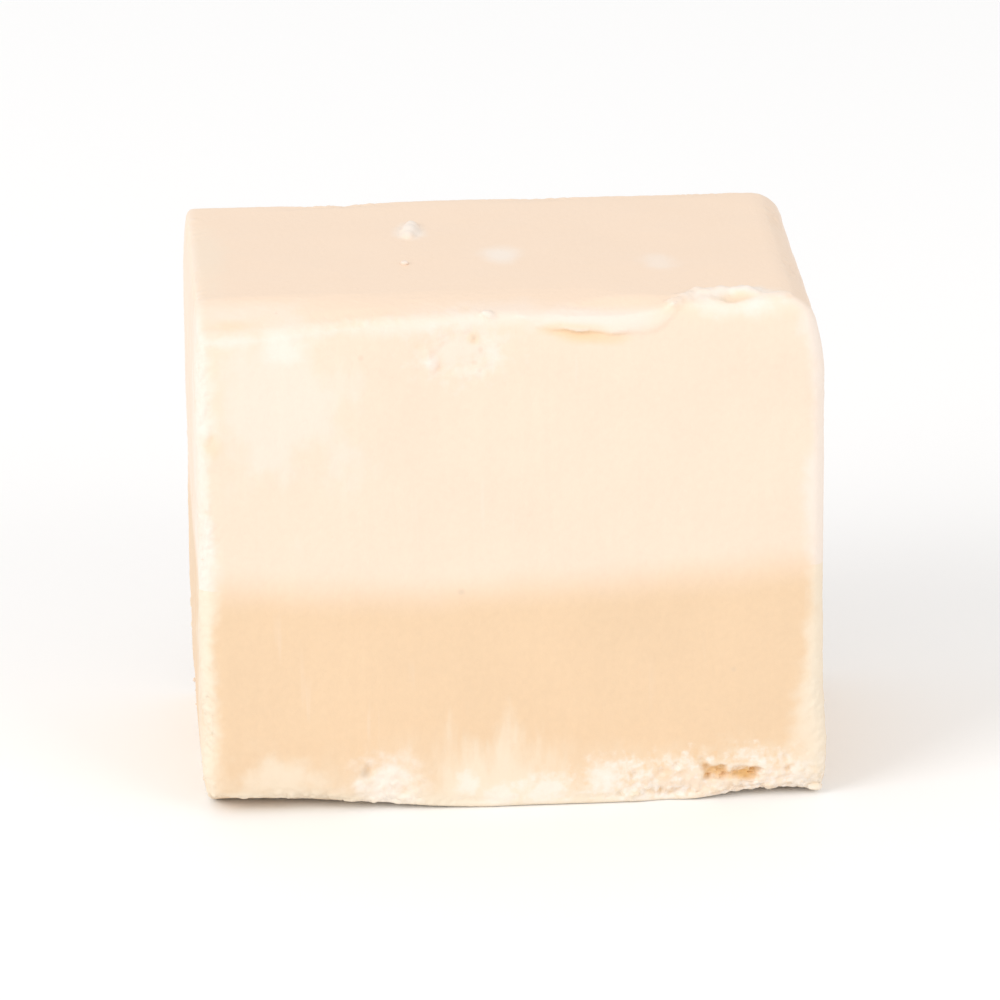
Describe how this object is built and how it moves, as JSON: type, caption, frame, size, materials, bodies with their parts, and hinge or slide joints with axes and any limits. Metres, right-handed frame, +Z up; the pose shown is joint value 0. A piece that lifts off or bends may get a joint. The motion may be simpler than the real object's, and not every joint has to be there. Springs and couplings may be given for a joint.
{
  "type": "fudge square",
  "caption": "Cut square of layered fudge, a pale vanilla layer on a caramel layer, with worn, crumbling cut edges and a flat underside to rest on.",
  "frame": {"origin": "middle of the flat underside", "axes": "+Z up through both layers, +X along the width of the front face, -Y out of the front face"},
  "size_m": [0.0349, 0.0198, 0.0299],
  "materials": {
    "caramel_fudge": "waxy satin, whitish along the cut edges",
    "vanilla_fudge": "waxy satin, whitish along the cut edges"
  },
  "bodies": {
    "root": {"caramel_layer": "caramel_fudge", "vanilla_layer": "vanilla_fudge"}
  },
  "joints": []
}
